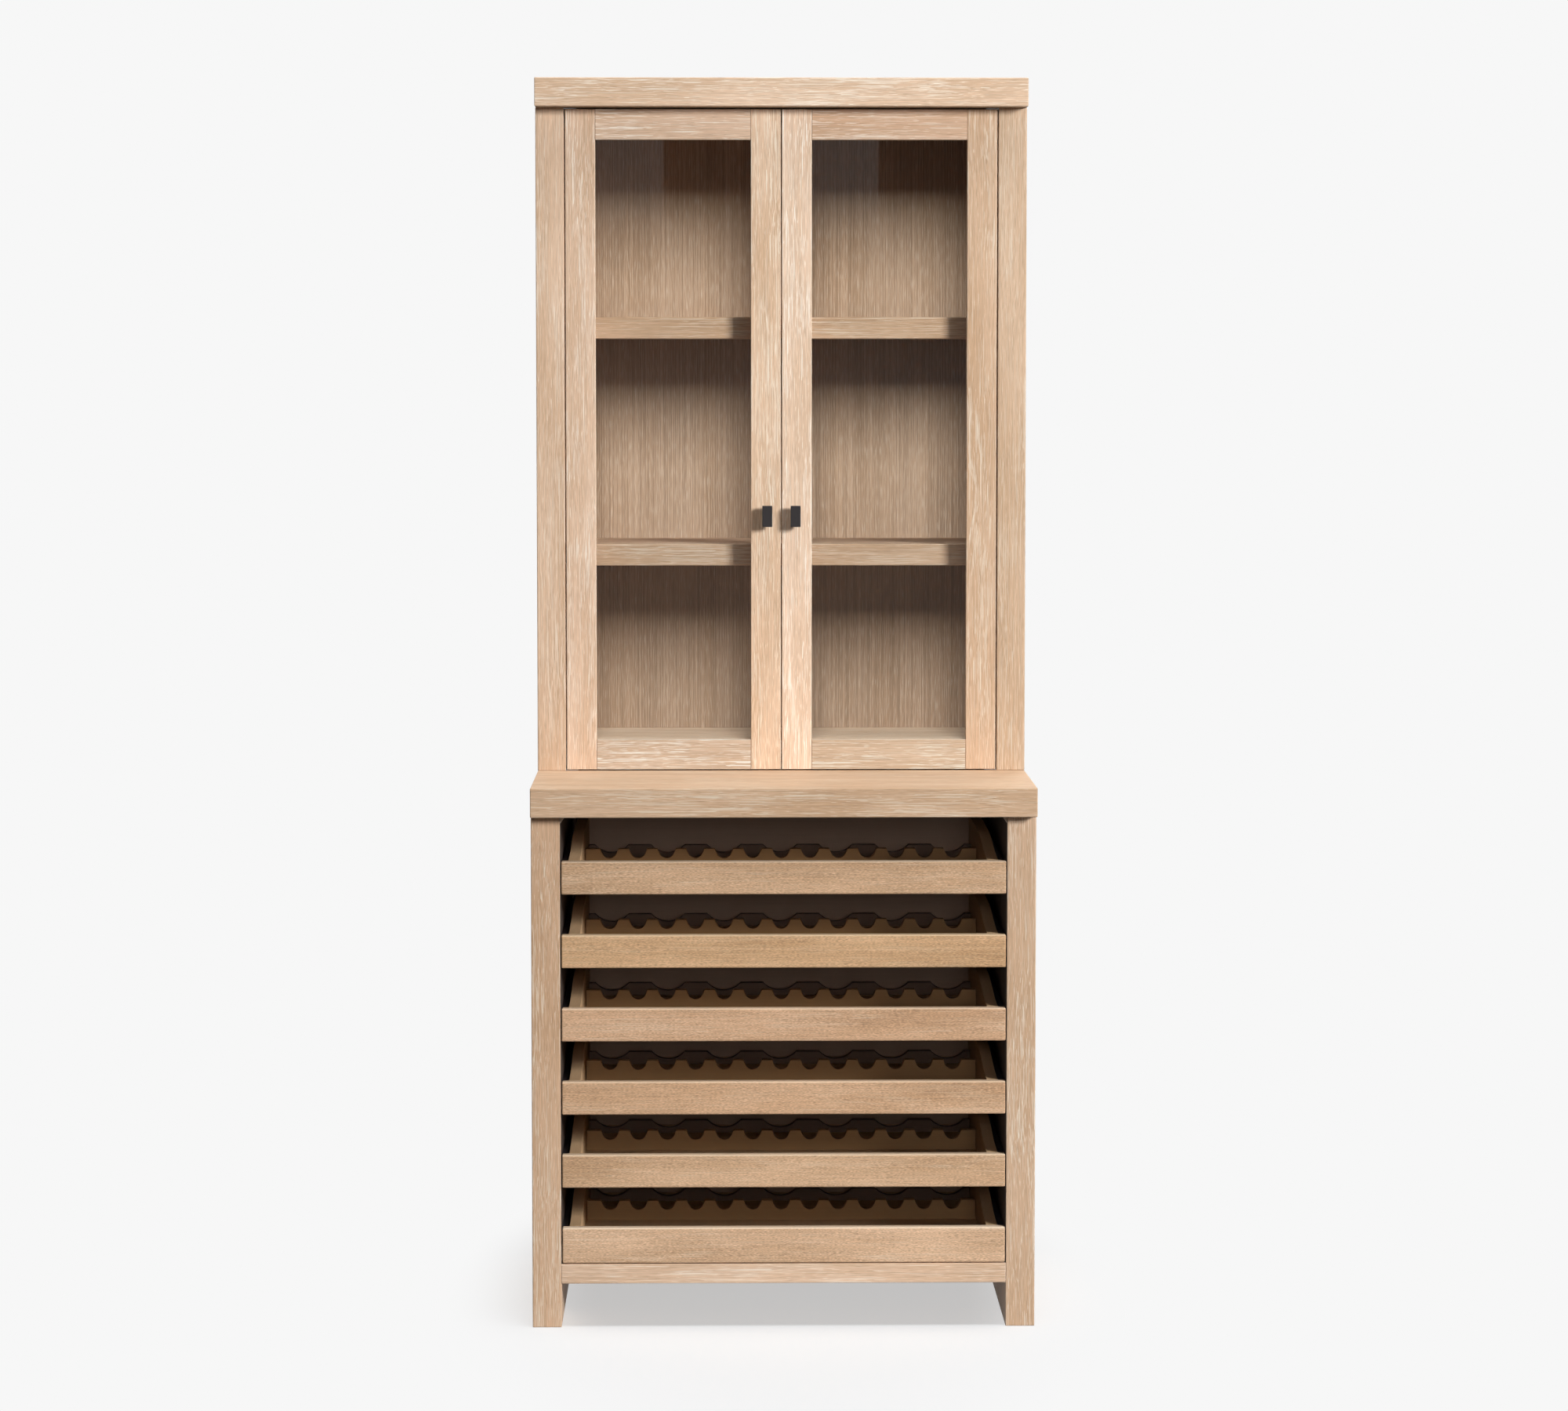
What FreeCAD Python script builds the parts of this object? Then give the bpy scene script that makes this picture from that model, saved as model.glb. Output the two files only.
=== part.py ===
import FreeCAD, Part
import math
import os
import types

import Sketcher

# A two-piece bar hutch: a base cabinet with six pull-out bottle drawers, and a glazed
# two-door hutch that stands on its counter. Millimetres, +Z up, the front faces -Y, and
# the origin is under the middle of the counter, on the surface the feet stand on.

SIZES = {
    # Base cabinet
    "cabinet_width": 812.8,
    "counter_depth": 610.0,
    "counter_height": 879.0,
    "counter_thickness": 47.0,
    "counter_overhang": 26.0,
    "side_thickness": 47.0,
    "deck_clearance": 71.5,
    "deck_thickness": 32.0,
    "cleat_width": 9.0,
    "cleat_height": 12.5,
    "edge_radius": 1.5,
    # Back panels, held in grooves in the sides
    "back_thickness": 9.0,
    "back_groove_depth": 8.0,
    "back_play": 0.3,
    "base_back_inset": 12.0,
    "hutch_back_inset": 18.0,
    # Hutch
    "hutch_depth": 312.0,
    "hutch_height": 1147.0,
    "cornice_thickness": 47.0,
    "cornice_overhang": 34.0,
    "floor_thickness": 47.0,
    "top_panel_thickness": 32.0,
    # Shelves and the pins that carry them
    "shelf_thickness": 36.0,
    "shelf_setback": 42.0,
    "shelf_play": 1.0,
    "lower_shelf_height": 376.5,
    "upper_shelf_height": 755.0,
    "pin_radius": 2.5,
    "pin_head_radius": 3.5,
    "pin_head_length": 9.0,
    "pin_hole_depth": 10.0,
    "pin_hole_play": 0.1,
    "pin_inset": 32.0,
    "pin_seat_gap": 0.2,
    "pin_hole_pitch": 32.0,
    # Doors
    "door_side_gap": 2.0,
    "door_meeting_gap": 2.0,
    "door_bottom_gap": 2.0,
    "door_top_gap": 3.0,
    "door_thickness": 20.0,
    "door_standoff": 3.0,
    "stile_width": 49.5,
    "rail_width": 50.0,
    "door_edge_radius": 0.8,
    "rabbet_width": 8.0,
    "rabbet_depth": 12.0,
    "glass_thickness": 4.0,
    "glass_play": 1.0,
    "bumper_radius": 5.0,
    "bumper_gap": 0.3,
    "bumper_from_centre": 24.0,
    # Door pivots, top and bottom
    "pivot_inset": 8.0,
    "pivot_setback": 5.0,
    "pivot_pin_radius": 2.5,
    "pivot_pin_length": 12.0,
    "pivot_running_play": 0.05,
    "bracket_metal": 1.5,
    "bracket_setback": 2.0,
    "bracket_depth": 18.0,
    "bracket_reach": 20.0,
    "bracket_leg": 26.0,
    "bracket_gap": 0.25,
    # Door knobs and their screws
    "knob_width": 16.5,
    "knob_height": 35.0,
    "knob_thickness": 12.0,
    "knob_projection": 25.0,
    "knob_edge_radius": 0.8,
    "knob_post_radius": 5.0,
    "knob_from_edge": 22.5,
    "knob_above_counter": 425.0,
    "screw_radius": 2.0,
    "screw_play": 0.1,
    "screw_thread_length": 8.0,
    "screw_head_radius": 4.0,
    "screw_head_height": 2.2,
    # Drawers
    "drawer_count": 6,
    "drawer_top_gap": 73.6,
    "drawer_front_height": 53.3,
    "drawer_front_thickness": 20.0,
    "drawer_front_gap": 1.2,
    "last_front_drop": 4.4,
    "drawer_rear_gap": 23.0,
    "drawer_edge_radius": 1.5,
    "drawer_side_thickness": 18.0,
    "drawer_side_rise": 19.0,
    "rise_start_share": 0.02,
    "rise_end_share": 0.5,
    "drawer_back_thickness": 18.0,
    "drawer_bottom_thickness": 6.0,
    "drawer_bottom_lift": 1.5,
    # Bottle racks, three in each drawer
    "bottle_count": 13,
    "rack_thickness": 15.0,
    "rack_end_gap": 1.3,
    "rack_end_land": 39.4,
    "front_rack_share": 0.246,
    "middle_rack_share": 0.5445,
    "rear_rack_share": 0.8426,
    "neck_rack_height": 33.0,
    "neck_notch_radius": 13.2,
    "neck_notch_depth": 15.7,
    "neck_notch_mouth": 31.0,
    "body_rack_height": 21.0,
    "body_cradle_radius": 38.0,
    "body_cradle_depth": 13.0,
    # Three-part drawer slides
    "slide_thickness": 12.7,
    "slide_height": 35.0,
    "slide_metal": 1.2,
    "slide_running_gap": 0.3,
    "slide_lip": 8.5,
    "slide_front_gap": 2.0,
    "slide_rear_gap": 18.0,
    "slide_above_box": 4.0,
    # Bolts that hold the hutch on the counter
    "bolt_radius": 3.0,
    "bolt_play": 0.2,
    "bolt_grip": 25.0,
    "bolt_head_radius": 6.5,
    "bolt_head_height": 4.0,
    "bolt_from_side": 60.0,
    "bolt_from_edge": 45.0,
    # How far a cut runs past the face it opens
    "overrun": 10.0,
}

doc = FreeCAD.newDocument("Hutch")
sheet = doc.addObject("Spreadsheet::Sheet", "Sizes")
for row, (alias, number) in enumerate(SIZES.items(), start=1):
    sheet.set(f"A{row}", alias)
    sheet.set(f"B{row}", str(number))
    sheet.setAlias(f"B{row}", alias)
doc.recompute()


class Size:
    """A size as a number and as the sheet formula that gives it, so both always agree."""

    def __init__(self, value, formula):
        self.value = value
        self.formula = formula

    def __add__(self, other):
        other = as_size(other)
        return Size(self.value + other.value, f"({self.formula} + {other.formula})")

    def __sub__(self, other):
        other = as_size(other)
        return Size(self.value - other.value, f"({self.formula} - {other.formula})")

    def __mul__(self, other):
        other = as_size(other)
        return Size(self.value * other.value, f"({self.formula} * {other.formula})")

    def __truediv__(self, other):
        other = as_size(other)
        return Size(self.value / other.value, f"({self.formula} / {other.formula})")

    def __neg__(self):
        return Size(-self.value, f"(-1 * {self.formula})")

    def whole(self):
        return Size(math.floor(self.value), f"floor({self.formula})")

    __radd__ = __add__
    __rmul__ = __mul__


def as_size(value):
    if isinstance(value, Size):
        return value
    return Size(value, repr(value))


cell = types.SimpleNamespace(
    **{alias: Size(number, f"Sizes.{alias}") for alias, number in SIZES.items()}
)
zero = as_size(0)
nodes = {}


def bind(target, prop, size):
    target.setExpression(prop, as_size(size).formula)


def place(item, x, y, z):
    bind(item, "Placement.Base.x", x)
    bind(item, "Placement.Base.y", y)
    bind(item, "Placement.Base.z", z)


def keep(name, item):
    """Gives a finished sub-part its name and lists it for export."""
    item.Label = name
    nodes[name] = item


def keep_group(name, items, x=zero, y=zero, z=zero):
    """Lists several separate solids as one sub-part."""
    group = doc.addObject("Part::Compound", name)
    group.Links = items
    place(group, x, y, z)
    keep(name, group)


def new_body(name):
    return doc.addObject("PartDesign::Body", name + "_body")


def sketch_on(body, role, lift=zero):
    """A sketch on one of the body's own planes, lifted along that plane's normal."""
    sketch = body.newObject("Sketcher::SketchObject", "Sketch")
    for feature in body.Origin.OriginFeatures:
        if feature.Role == role:
            sketch.AttachmentSupport = [(feature, "")]
    sketch.MapMode = "FlatFace"
    bind(sketch, "AttachmentOffset.Base.z", lift)
    return sketch


def fix(sketch, kind, size, *where):
    """Adds a dimension to a sketch and ties it to the sheet."""
    index = sketch.addConstraint(Sketcher.Constraint(kind, *where, float(size.value)))
    sketch.setExpression(f"Constraints[{index}]", size.formula)


def fix_point(sketch, item, end, x, y):
    fix(sketch, "DistanceX", as_size(x), -1, 1, item, end)
    fix(sketch, "DistanceY", as_size(y), -1, 1, item, end)


def outline(sketch, corners):
    """A closed outline of straight lines through the corners."""
    corners = [(as_size(x), as_size(y)) for x, y in corners]
    count = len(corners)
    spots = [FreeCAD.Vector(x.value, y.value, 0) for x, y in corners]
    for index in range(count):
        sketch.addGeometry(Part.LineSegment(spots[index], spots[(index + 1) % count]))
    for index in range(count):
        sketch.addConstraint(Sketcher.Constraint("Coincident", index, 2, (index + 1) % count, 1))
    for index, (x, y) in enumerate(corners):
        fix_point(sketch, index, 1, x, y)


def rectangle(sketch, left, low, width, height):
    right = as_size(left) + width
    high = as_size(low) + height
    outline(sketch, [(left, low), (right, low), (right, high), (left, high)])


def circle(sketch, x, y, radius):
    spot = FreeCAD.Vector(as_size(x).value, as_size(y).value, 0)
    round_line = Part.Circle(spot, FreeCAD.Vector(0, 0, 1), radius.value)
    index = sketch.addGeometry(round_line)
    fix(sketch, "Radius", radius, index)
    fix_point(sketch, index, 3, x, y)


def pad(body, sketch, length, flipped=False):
    feature = body.newObject("PartDesign::Pad", "Pad")
    feature.Profile = sketch
    feature.Reversed = flipped
    bind(feature, "Length", length)
    body.Tip = feature
    return feature


def pocket(body, sketch, depth, flipped=False):
    """Cuts a sketch into a body and makes sure that the cut took material away."""
    doc.recompute()
    before = body.Shape.Volume
    feature = body.newObject("PartDesign::Pocket", "Pocket")
    feature.Profile = sketch
    feature.Reversed = flipped
    bind(feature, "Length", depth)
    body.Tip = feature
    doc.recompute()
    if not body.Shape.Volume < before:
        raise RuntimeError(f"the cut in {body.Name} removes nothing")
    return feature


def ease(body, radius, wanted=None):
    """Rounds the edges of the body's last feature that pass the test, or all of them."""
    doc.recompute()
    base = body.Tip
    names = []
    for number, edge in enumerate(base.Shape.Edges, start=1):
        if wanted is None or wanted(edge.BoundBox):
            names.append(f"Edge{number}")
    feature = body.newObject("PartDesign::Fillet", "EasedEdges")
    feature.Base = (base, names)
    bind(feature, "Radius", radius)
    body.Tip = feature
    return feature


def board(name, width, depth, height, x, y, z, radius=None):
    """A square board, from its lowest corner, with all its edges eased if a radius is given."""
    body = new_body(name)
    sketch = sketch_on(body, "XY_Plane")
    rectangle(sketch, zero, zero, width, depth)
    pad(body, sketch, height)
    if radius is not None:
        ease(body, radius)
    place(body, x, y, z)
    return body


def cylinder(name, radius, length, x, y, z, turn=None):
    """A round bar from the centre of its lower end; turn points it along another axis."""
    item = doc.addObject("Part::Cylinder", name)
    bind(item, "Radius", radius)
    bind(item, "Height", length)
    if turn is not None:
        item.Placement = FreeCAD.Placement(FreeCAD.Vector(), turn)
    place(item, x, y, z)
    return item


def fused(name, items):
    item = doc.addObject("Part::MultiFuse", name)
    item.Shapes = items
    return item


def cut(name, base, tool):
    item = doc.addObject("Part::Cut", name)
    item.Base = base
    item.Tool = tool
    return item


TOWARDS_FRONT = FreeCAD.Rotation(FreeCAD.Vector(1, 0, 0), 90)
TOWARDS_BACK = FreeCAD.Rotation(FreeCAD.Vector(1, 0, 0), -90)
TOWARDS_RIGHT = FreeCAD.Rotation(FreeCAD.Vector(0, 1, 0), 90)
TOWARDS_LEFT = FreeCAD.Rotation(FreeCAD.Vector(0, 1, 0), -90)

# Levels and faces that more than one piece meets
half_width = cell.cabinet_width / 2
opening_half = half_width - cell.side_thickness
opening_width = opening_half * 2
rear = cell.counter_depth / 2
base_front = cell.counter_overhang - rear
base_height = cell.counter_height - cell.counter_thickness
deck_top = cell.deck_clearance + cell.deck_thickness
base_back_front = rear - cell.base_back_inset - cell.back_thickness
hutch_front = rear - cell.hutch_depth
cornice_bottom = cell.counter_height + cell.hutch_height - cell.cornice_thickness
hutch_side_height = cornice_bottom - cell.counter_height
door_back = hutch_front + cell.door_thickness
carcass_front = door_back + cell.door_standoff
hutch_back_front = rear - cell.hutch_back_inset - cell.back_thickness
shelf_front = hutch_front + cell.shelf_setback
shelf_depth = hutch_back_front - cell.shelf_play - shelf_front


# The side panels are thick slabs that run down to the floor as sledge feet. A groove near
# the rear edge takes the back panel.
def cut_back_groove(body, sign, panel_front, low, height):
    sketch = sketch_on(body, "XY_Plane", low)
    inner = cell.side_thickness if sign < 0 else zero
    depth = cell.back_groove_depth * sign
    width = cell.back_thickness + cell.back_play * 2
    rectangle(sketch, inner, panel_front - cell.back_play, depth, width)
    pocket(body, sketch, height + cell.overrun, flipped=True)


def slab_side(name, sign, front, low, height, groove_low, panel_front):
    body = new_body(name)
    sketch = sketch_on(body, "XY_Plane")
    rectangle(sketch, zero, zero, cell.side_thickness, rear - front)
    pad(body, sketch, height)
    ease(body, cell.edge_radius)
    cut_back_groove(body, sign, panel_front - front, groove_low, height - groove_low)
    left = -half_width if sign < 0 else opening_half
    place(body, left, front, low)
    return body


for side_name, sign in (("left", -1), ("right", 1)):
    name = f"base_side_{side_name}"
    body = slab_side(name, sign, base_front, zero, base_height,
                     cell.deck_clearance, base_back_front)
    keep(name, body)

# The counter is one slab. Four bolts pass up through it into the hutch floor.
bolt_spots = []
for sign in (-1, 1):
    for y in (carcass_front + cell.bolt_from_edge, hutch_back_front - cell.bolt_from_edge):
        bolt_spots.append(((opening_half - cell.bolt_from_side) * sign, y))

counter = new_body("counter_top")
counter_sketch = sketch_on(counter, "XY_Plane")
rectangle(counter_sketch, -half_width, -rear, cell.cabinet_width, cell.counter_depth)
pad(counter, counter_sketch, cell.counter_thickness)
ease(counter, cell.edge_radius)
counter_holes = sketch_on(counter, "XY_Plane")
for x, y in bolt_spots:
    circle(counter_holes, x, y, cell.bolt_radius + cell.bolt_play)
pocket(counter, counter_holes, cell.counter_thickness, flipped=True)
place(counter, zero, zero, base_height)
keep("counter_top", counter)

# The deck under the lowest drawer, and the thin back panel behind the drawers
deck = board("base_deck", opening_width, base_back_front - base_front, cell.deck_thickness,
             -opening_half, base_front, cell.deck_clearance)
ease(deck, cell.edge_radius,
     lambda box: box.XLength > cell.side_thickness.value and box.YMax < cell.edge_radius.value)
keep("base_deck", deck)

panel_half = opening_half + cell.back_groove_depth - cell.back_play
keep("base_back", board("base_back", panel_half * 2, cell.back_thickness,
                        base_height - cell.deck_clearance,
                        -panel_half, base_back_front, cell.deck_clearance))

# Three-cornered cleats under the counter, one along each side panel
cleats = []
for sign in (-1, 1):
    body = new_body(f"cleat_{len(cleats) + 1}")
    sketch = sketch_on(body, "XZ_Plane")
    outline(sketch, [(zero, zero), (-cell.cleat_width * sign, zero), (zero, -cell.cleat_height)])
    pad(body, sketch, base_back_front - base_front - cell.slide_front_gap, flipped=True)
    place(body, opening_half * sign, base_front + cell.slide_front_gap, base_height)
    cleats.append(body)
keep_group("counter_cleats", cleats)

# Hutch side panels stand on the counter. Rows of holes on their inner faces take the shelf
# pins, and a mortise at each end of the front edge takes a door pivot's upright leaf.
shelf_tops = (cell.lower_shelf_height, cell.upper_shelf_height)
pin_columns = (shelf_front + cell.pin_inset, shelf_front + shelf_depth - cell.pin_inset)
pin_rows = [top - cell.shelf_thickness - cell.pin_seat_gap - cell.pin_head_radius
            for top in shelf_tops]
bracket_front = hutch_front + cell.bracket_setback
bracket_levels = (zero, hutch_side_height - cell.bracket_leg)

for side_name, sign in (("left", -1), ("right", 1)):
    name = f"hutch_side_{side_name}"
    body = slab_side(name, sign, hutch_front, cell.counter_height, hutch_side_height,
                     zero, hutch_back_front)
    inner = cell.side_thickness if sign < 0 else zero
    holes = sketch_on(body, "YZ_Plane", inner)
    for column in pin_columns:
        for row in pin_rows:
            for step in (-1, 0, 1):
                circle(holes, column - hutch_front, row + cell.pin_hole_pitch * step,
                       cell.pin_radius + cell.pin_hole_play)
    pocket(body, holes, cell.pin_hole_depth, flipped=(sign > 0))
    for level in bracket_levels:
        mortise = sketch_on(body, "XY_Plane", level)
        rectangle(mortise, inner, bracket_front - hutch_front,
                  cell.bracket_metal * sign, cell.bracket_depth)
        pocket(body, mortise, cell.bracket_leg, flipped=True)
    keep(name, body)

# The cornice slab overhangs the doors. The top panel under it and the floor slab stop
# short of the front, so that the doors cover their edges.
keep("hutch_cornice", board("hutch_cornice", cell.cabinet_width,
                            cell.hutch_depth + cell.cornice_overhang, cell.cornice_thickness,
                            -half_width, hutch_front - cell.cornice_overhang, cornice_bottom,
                            cell.edge_radius))
keep("hutch_top_panel", board("hutch_top_panel", opening_width,
                              hutch_back_front - carcass_front, cell.top_panel_thickness,
                              -opening_half, carcass_front,
                              cornice_bottom - cell.top_panel_thickness))

floor_body = new_body("hutch_floor")
floor_sketch = sketch_on(floor_body, "XY_Plane")
rectangle(floor_sketch, -opening_half, carcass_front,
          opening_width, hutch_back_front - carcass_front)
pad(floor_body, floor_sketch, cell.floor_thickness)
floor_holes = sketch_on(floor_body, "XY_Plane")
for x, y in bolt_spots:
    circle(floor_holes, x, y, cell.bolt_radius + cell.bolt_play)
pocket(floor_body, floor_holes, cell.bolt_grip, flipped=True)
place(floor_body, zero, zero, cell.counter_height)
keep("hutch_floor", floor_body)

keep("hutch_back", board("hutch_back", panel_half * 2, cell.back_thickness, hutch_side_height,
                         -panel_half, hutch_back_front, cell.counter_height))

# Bolts with pan heads under the counter
bolts = []
for number, (x, y) in enumerate(bolt_spots, start=1):
    shank = cylinder(f"bolt_shank_{number}", cell.bolt_radius,
                     cell.counter_thickness + cell.bolt_grip, x, y, base_height)
    head = cylinder(f"bolt_head_{number}", cell.bolt_head_radius, cell.bolt_head_height,
                    x, y, base_height - cell.bolt_head_height)
    bolts.append(fused(f"bolt_{number}", [shank, head]))
keep_group("joining_bolts", bolts)

# Two thick shelves with eased edges, each on four stepped metal pins
for name, top in (("shelf_lower", shelf_tops[0]), ("shelf_upper", shelf_tops[1])):
    keep(name, board(name, (opening_half - cell.shelf_play) * 2, shelf_depth,
                     cell.shelf_thickness, cell.shelf_play - opening_half, shelf_front,
                     cell.counter_height + top - cell.shelf_thickness, cell.edge_radius))

pins = []
for row in pin_rows:
    for column in pin_columns:
        for sign, turn in ((-1, TOWARDS_LEFT), (1, TOWARDS_RIGHT)):
            number = len(pins) + 1
            level = cell.counter_height + row
            shank = cylinder(f"pin_shank_{number}", cell.pin_radius, cell.pin_hole_depth,
                             opening_half * sign, column, level, turn)
            head = cylinder(f"pin_head_{number}", cell.pin_head_radius, cell.pin_head_length,
                            (opening_half - cell.pin_head_length) * sign, column, level, turn)
            pins.append(fused(f"pin_{number}", [shank, head]))
keep_group("shelf_pins", pins)

# Soft bumpers on the edges of the floor slab and the top panel stop the closed doors
bumpers = []
bumper_levels = (cell.counter_height + cell.floor_thickness / 2,
                 cornice_bottom - cell.top_panel_thickness / 2)
for sign in (-1, 1):
    for level in bumper_levels:
        bumpers.append(cylinder(f"bumper_{len(bumpers) + 1}", cell.bumper_radius,
                                cell.door_standoff - cell.bumper_gap,
                                cell.bumper_from_centre * sign, carcass_front, level,
                                TOWARDS_FRONT))
keep_group("door_bumpers", bumpers)

# Each door turns on two steel pivot brackets let into the side panel. A pin on each
# bracket's flat leaf stands in a hole in the end of the outer stile.
door_width = (opening_width - cell.door_side_gap * 2 - cell.door_meeting_gap) / 2
door_low = cell.counter_height + cell.door_bottom_gap
door_height = cornice_bottom - cell.door_top_gap - door_low
pivot_x = opening_half - cell.door_side_gap - cell.pivot_inset
pivot_y = hutch_front + cell.pivot_setback

brackets = []
for sign in (-1, 1):
    for upper in (False, True):
        body = new_body(f"pivot_bracket_{len(brackets) + 1}")
        up = -1 if upper else 1
        door_end = cell.door_top_gap if upper else cell.door_bottom_gap
        leaf_face = door_end - cell.bracket_gap
        leaf_start = leaf_face - cell.bracket_metal
        profile = sketch_on(body, "XZ_Plane")
        wall = cell.bracket_metal * sign
        outline(profile, [(wall, leaf_start * up),
                          (-cell.bracket_reach * sign, leaf_start * up),
                          (-cell.bracket_reach * sign, leaf_face * up),
                          (zero, leaf_face * up),
                          (zero, cell.bracket_leg * up),
                          (wall, cell.bracket_leg * up)])
        pad(body, profile, cell.bracket_depth, flipped=True)
        pin = sketch_on(body, "XY_Plane", (leaf_face - cell.bracket_metal / 2) * up)
        circle(pin, (pivot_x - opening_half) * sign, pivot_y - bracket_front,
               cell.pivot_pin_radius)
        pad(body, pin, cell.pivot_pin_length + cell.bracket_metal / 2, flipped=upper)
        level = cornice_bottom if upper else cell.counter_height
        place(body, opening_half * sign, bracket_front, level)
        brackets.append(body)
keep_group("pivot_brackets", brackets)

# Each door is a frame of two full-height stiles and two rails, rabbeted at the back for a
# glass pane that beads hold in. A block knob on a round post stands near the meeting edge.
glass_opening_width = door_width - cell.stile_width * 2
glass_opening_height = door_height - cell.rail_width * 2
rabbet_front = cell.door_thickness - cell.rabbet_depth
knob_level = cell.counter_height + cell.knob_above_counter - door_low


def make_stile(name, x, rabbet_x, holes):
    """One stile: its rabbet stops level with the rails' own rabbets."""
    body = new_body(name)
    sketch = sketch_on(body, "XY_Plane")
    rectangle(sketch, zero, zero, cell.stile_width, cell.door_thickness)
    pad(body, sketch, door_height)
    ease(body, cell.door_edge_radius)
    rabbet = sketch_on(body, "XY_Plane", cell.rail_width - cell.rabbet_width)
    rectangle(rabbet, rabbet_x, rabbet_front, cell.rabbet_width, cell.rabbet_depth)
    pocket(body, rabbet, glass_opening_height + cell.rabbet_width * 2, flipped=True)
    holes(body)
    place(body, x, hutch_front, door_low)
    return body


def make_rail(name, x, z, edge_z):
    """One rail, cut to length between the stiles, with its rabbet on the glass side."""
    body = new_body(name)
    sketch = sketch_on(body, "YZ_Plane")
    rectangle(sketch, zero, zero, cell.door_thickness, cell.rail_width)
    pad(body, sketch, glass_opening_width)
    rabbet = sketch_on(body, "YZ_Plane")
    rectangle(rabbet, rabbet_front, edge_z, cell.rabbet_depth, cell.rabbet_width)
    pocket(body, rabbet, glass_opening_width, flipped=True)
    place(body, x, hutch_front, z)
    return body


def make_door(side_name, sign):
    outer = opening_half - cell.door_side_gap
    left = -outer if sign < 0 else outer - door_width
    outer_x = left if sign < 0 else left + door_width - cell.stile_width
    inner_x = left + door_width - cell.stile_width if sign < 0 else left
    rabbet_at_right = cell.stile_width - cell.rabbet_width
    hole_radius = cell.pivot_pin_radius + cell.pivot_running_play

    def bore_pivots(body):
        hole_x = cell.pivot_inset if sign < 0 else cell.stile_width - cell.pivot_inset
        depth = cell.pivot_pin_length + cell.bracket_gap
        for level, flipped in ((zero, True), (door_height, False)):
            bore = sketch_on(body, "XY_Plane", level)
            circle(bore, hole_x, cell.pivot_setback, hole_radius)
            pocket(body, bore, depth, flipped=flipped)

    def bore_knob(body):
        hole_x = cell.stile_width - cell.knob_from_edge if sign < 0 else cell.knob_from_edge
        bore = sketch_on(body, "XZ_Plane")
        circle(bore, hole_x, knob_level, cell.screw_radius + cell.screw_play)
        pocket(body, bore, cell.door_thickness)

    stiles = [
        make_stile(f"hinge_stile_{side_name}", outer_x,
                   rabbet_at_right if sign < 0 else zero, bore_pivots),
        make_stile(f"meeting_stile_{side_name}", inner_x,
                   zero if sign < 0 else rabbet_at_right, bore_knob),
    ]
    keep_group(f"door_{side_name}_stiles", stiles)

    rail_x = left + cell.stile_width
    rails = [
        make_rail(f"bottom_rail_{side_name}", rail_x, door_low,
                  cell.rail_width - cell.rabbet_width),
        make_rail(f"top_rail_{side_name}", rail_x, door_low + door_height - cell.rail_width,
                  zero),
    ]
    keep_group(f"door_{side_name}_rails", rails)

    # The glass
    reach = cell.rabbet_width - cell.glass_play
    glass_y = hutch_front + rabbet_front
    name = f"door_{side_name}_glass"
    keep(name, board(name, glass_opening_width + reach * 2, cell.glass_thickness,
                     glass_opening_height + reach * 2, rail_x - reach, glass_y,
                     door_low + cell.rail_width - reach))

    # The four beads behind the glass
    bead_y = glass_y + cell.glass_thickness
    bead_depth = cell.rabbet_depth - cell.glass_thickness
    full_height = glass_opening_height + cell.rabbet_width * 2
    low = door_low + cell.rail_width
    beads = []
    for x in (rail_x - cell.rabbet_width, rail_x + glass_opening_width):
        beads.append(board(f"upright_bead_{side_name}", cell.rabbet_width, bead_depth,
                           full_height, x, bead_y, low - cell.rabbet_width))
    for z in (low - cell.rabbet_width, low + glass_opening_height):
        beads.append(board(f"level_bead_{side_name}", glass_opening_width, bead_depth,
                           cell.rabbet_width, rail_x, bead_y, z))
    keep_group(f"door_{side_name}_beads", beads)

    # The knob and the screw that holds it from behind
    knob_x = (cell.door_meeting_gap / 2 + cell.knob_from_edge) * sign
    knob_z = door_low + knob_level
    block = board(f"knob_block_{side_name}", cell.knob_width, cell.knob_thickness,
                  cell.knob_height, knob_x - cell.knob_width / 2,
                  hutch_front - cell.knob_projection, knob_z - cell.knob_height / 2,
                  cell.knob_edge_radius)
    post = cylinder(f"knob_post_{side_name}", cell.knob_post_radius,
                    cell.knob_projection - cell.knob_thickness / 2,
                    knob_x, hutch_front, knob_z, TOWARDS_FRONT)
    tapping = cylinder(f"knob_tapping_{side_name}", cell.screw_radius + cell.screw_play,
                       cell.screw_thread_length, knob_x, hutch_front, knob_z, TOWARDS_FRONT)
    knob = cut(f"knob_{side_name}", fused(f"knob_solid_{side_name}", [block, post]), tapping)
    shank = cylinder(f"knob_screw_shank_{side_name}", cell.screw_radius,
                     cell.door_thickness + cell.screw_thread_length,
                     knob_x, door_back, knob_z, TOWARDS_FRONT)
    head = cylinder(f"knob_screw_head_{side_name}", cell.screw_head_radius,
                    cell.screw_head_height, knob_x, door_back, knob_z, TOWARDS_BACK)
    screw = fused(f"knob_screw_{side_name}", [shank, head])
    keep_group(f"door_{side_name}_knob", [knob, screw])


for side_name, sign in (("left", -1), ("right", 1)):
    make_door(side_name, sign)

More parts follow.
